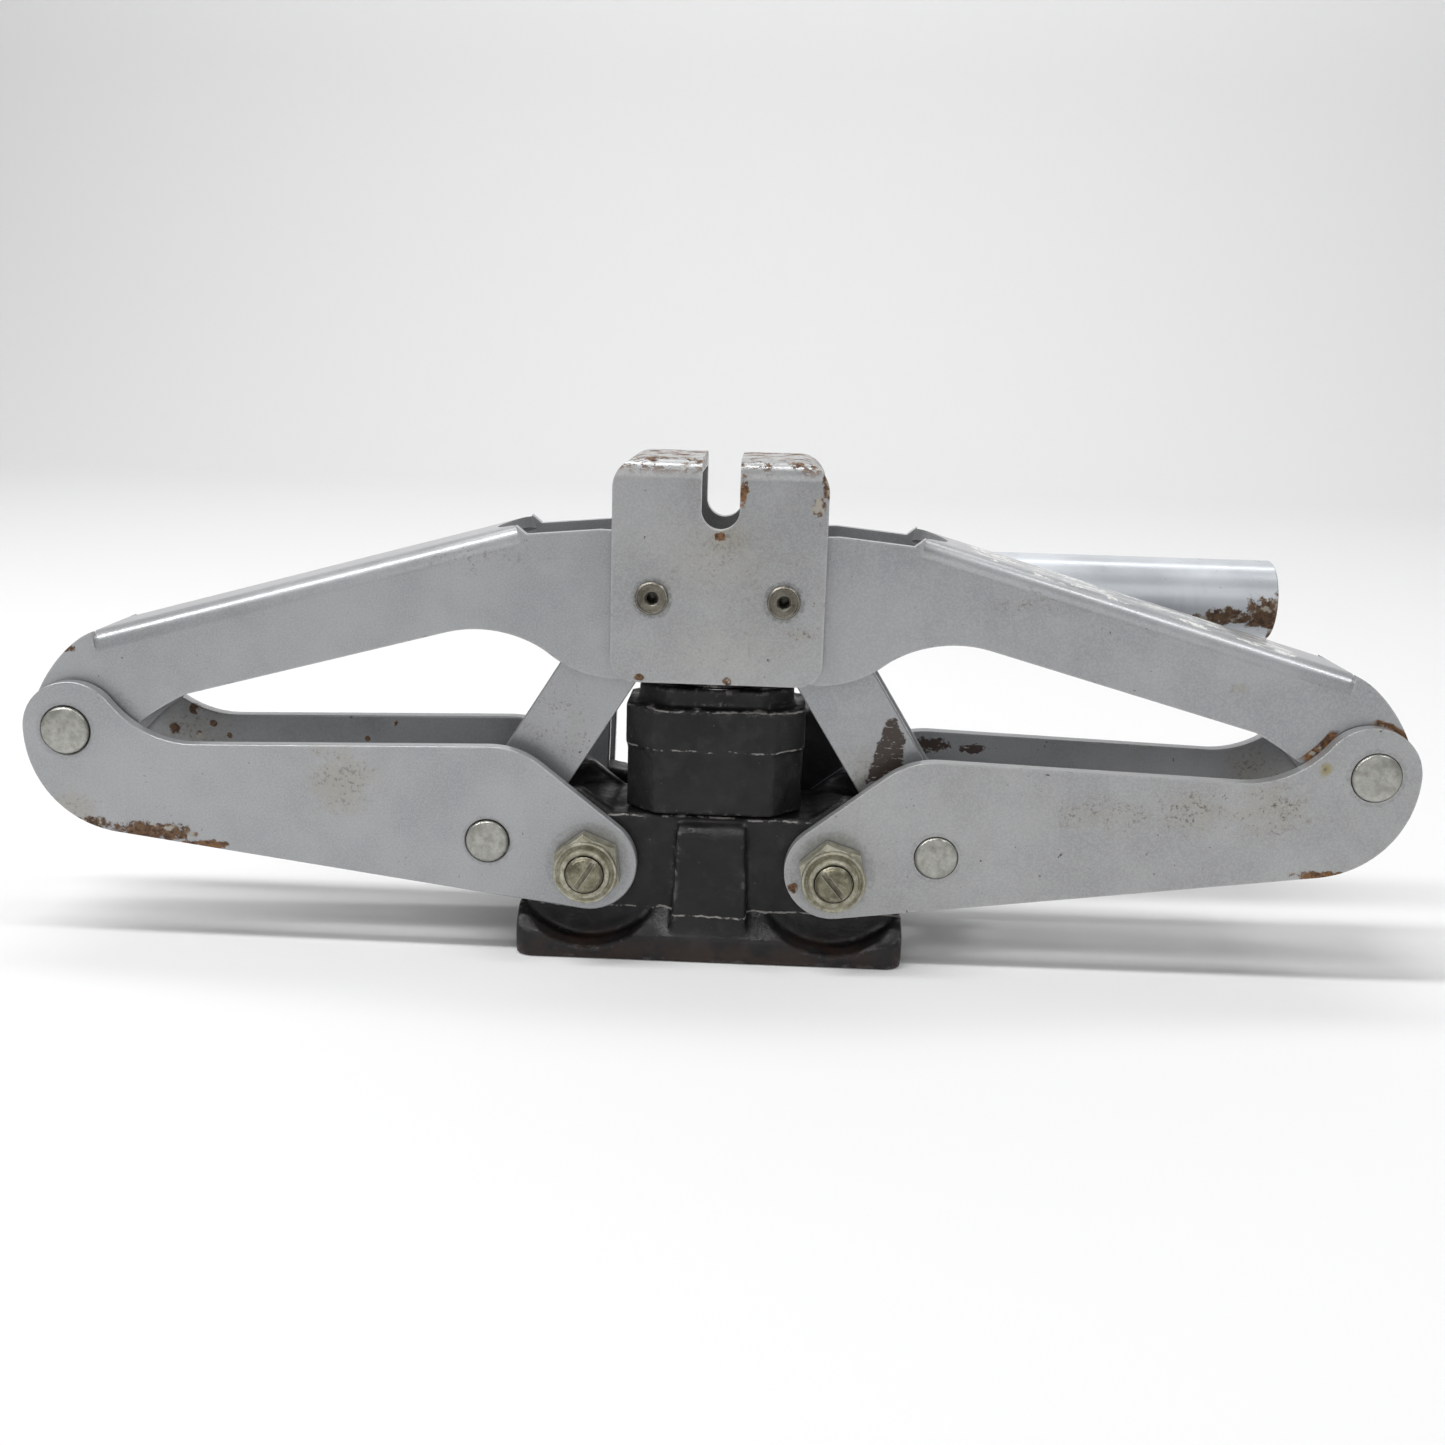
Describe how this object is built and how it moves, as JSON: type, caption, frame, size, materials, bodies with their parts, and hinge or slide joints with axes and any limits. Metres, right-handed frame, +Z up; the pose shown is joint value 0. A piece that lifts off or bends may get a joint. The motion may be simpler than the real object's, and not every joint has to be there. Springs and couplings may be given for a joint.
{
  "type": "hydraulic scissor car jack",
  "caption": "Hydraulic scissor jack, collapsed: twin plate arms, channel upper arms, slotted saddle, cast base with ram cylinder and side hand pump.",
  "frame": {"origin": "centre of the ram axis on the floor, under the base casting", "axes": "+X along the arms towards the handle socket's mouth, +Y to the rear where the pump is, +Z up"},
  "size_m": [0.4036, 0.0989, 0.146],
  "materials": {
    "silver_paint": "silver-grey metallic paint, pitted and chipped, rust at the edges",
    "black_paint": "black paint over a rough casting, chipped along the edges",
    "zinc_plate": "dulled yellowish zinc plate",
    "rivet_steel": "browned plain steel",
    "bright_steel": "ground and polished steel",
    "seal_rubber": "oiled nitrile rubber"
  },
  "bodies": {
    "base": {"base_casting": "black_paint", "reservoir_shell": "black_paint", "cylinder_tube": "bright_steel", "gland_nut": "black_paint", "wiper_seal": "seal_rubber", "filler_plug": "seal_rubber", "pivot_bolt_left": "zinc_plate", "pivot_bolt_right": "zinc_plate", "pivot_nut_left": "zinc_plate", "pivot_nut_right": "zinc_plate", "pump_barrel": "zinc_plate", "pump_seal": "seal_rubber", "fulcrum_pin_lower": "zinc_plate"},
    "ram": {"ram": "bright_steel", "piston_seal": "seal_rubber", "crosshead": "black_paint", "crosshead_pin_left": "zinc_plate", "crosshead_pin_right": "zinc_plate"},
    "saddle": {"saddle": "silver_paint", "saddle_rivet_front_left": "rivet_steel", "saddle_rivet_front_right": "rivet_steel", "saddle_rivet_rear_left": "rivet_steel", "saddle_rivet_rear_right": "rivet_steel"},
    "pump_plunger": {"pump_plunger": "bright_steel", "plunger_pin": "zinc_plate"},
    "pump_lever": {"lever_bracket": "silver_paint", "handle_socket": "silver_paint", "fulcrum_pin_upper": "zinc_plate"},
    "fulcrum_links": {"fulcrum_link_front": "silver_paint", "fulcrum_link_rear": "silver_paint"},
    "release_valve": {"release_screw": "zinc_plate"},
    "lower_arm_left": {"lower_arm_front_left": "silver_paint", "lower_arm_rear_left": "silver_paint", "outer_pin_left": "zinc_plate", "link_pin_left": "zinc_plate"},
    "upper_arm_left": {"upper_arm_left": "silver_paint"},
    "links_left": {"link_front_left": "silver_paint", "link_rear_left": "silver_paint"},
    "lower_arm_right": {"lower_arm_front_right": "silver_paint", "lower_arm_rear_right": "silver_paint", "outer_pin_right": "zinc_plate", "link_pin_right": "zinc_plate"},
    "upper_arm_right": {"upper_arm_right": "silver_paint"},
    "links_right": {"link_front_right": "silver_paint", "link_rear_right": "silver_paint"}
  },
  "joints": [
    {"name": "lift", "type": "hinge", "parent": "base", "child": "lower_arm_left", "pos_m": [-0.0358, 0, 0.0276], "axis": [0, 1, 0], "range_deg": [0, 50]},
    {"name": "lower_arm_right_hinge", "type": "hinge", "parent": "base", "child": "lower_arm_right", "pos_m": [0.0358, 0, 0.0276], "axis": [0, -1, 0], "range_deg": [0, 50]},
    {"name": "upper_arm_left_hinge", "type": "hinge", "parent": "lower_arm_left", "child": "upper_arm_left", "pos_m": [-0.189, 0, 0.0622], "axis": [0, -1, 0], "range_deg": [0, 94.62]},
    {"name": "upper_arm_right_hinge", "type": "hinge", "parent": "lower_arm_right", "child": "upper_arm_right", "pos_m": [0.189, 0, 0.0622], "axis": [0, 1, 0], "range_deg": [0, 94.62]},
    {"name": "saddle_hinge", "type": "hinge", "parent": "upper_arm_left", "child": "saddle", "pos_m": [-0.0186, 0, 0.1068], "axis": [0, 1, 0], "range_deg": [0, 44.62]},
    {"name": "ram_slide", "type": "slide", "parent": "base", "child": "ram", "axis": [0, 0, 1], "range_m": [0, 0.0289]},
    {"name": "links_left_hinge", "type": "hinge", "parent": "ram", "child": "links_left", "pos_m": [-0.0215, 0, 0.104], "axis": [0, -1, 0], "range_deg": [0, 10.48]},
    {"name": "links_right_hinge", "type": "hinge", "parent": "ram", "child": "links_right", "pos_m": [0.0215, 0, 0.104], "axis": [0, 1, 0], "range_deg": [0, 10.48]},
    {"name": "plunger_slide", "type": "slide", "parent": "base", "child": "pump_plunger", "axis": [0, 0, 1], "range_m": [0, 0.01537]},
    {"name": "pump_handle", "type": "hinge", "parent": "pump_plunger", "child": "pump_lever", "pos_m": [-0.014, 0.046, 0.097], "axis": [0, -1, 0], "range_deg": [0, 32]},
    {"name": "fulcrum_hinge", "type": "hinge", "parent": "base", "child": "fulcrum_links", "pos_m": [-0.0435, 0.046, 0.034], "axis": [0, 1, 0], "range_deg": [0, 0.971]},
    {"name": "release_valve_turn", "type": "hinge", "parent": "base", "child": "release_valve", "pos_m": [0.0444, 0.046, 0.024], "axis": [1, 0, 0], "range_deg": [0, 360]}
  ],
  "couplings": [
    {"joint": "lower_arm_right_hinge", "follows": "lift", "ratio": 1},
    {"joint": "upper_arm_left_hinge", "follows": "lift", "ratio": 1.8924},
    {"joint": "upper_arm_right_hinge", "follows": "lift", "ratio": 1.8924},
    {"joint": "saddle_hinge", "follows": "lift", "ratio": 0.8924},
    {"joint": "ram_slide", "follows": "lift", "m_per_rad": 0.033113},
    {"joint": "links_left_hinge", "follows": "lift", "ratio": 0.20951},
    {"joint": "links_right_hinge", "follows": "lift", "ratio": 0.20951},
    {"joint": "plunger_slide", "follows": "pump_handle", "m_per_rad": 0.027504},
    {"joint": "fulcrum_hinge", "follows": "pump_handle", "ratio": 0.030333}
  ]
}
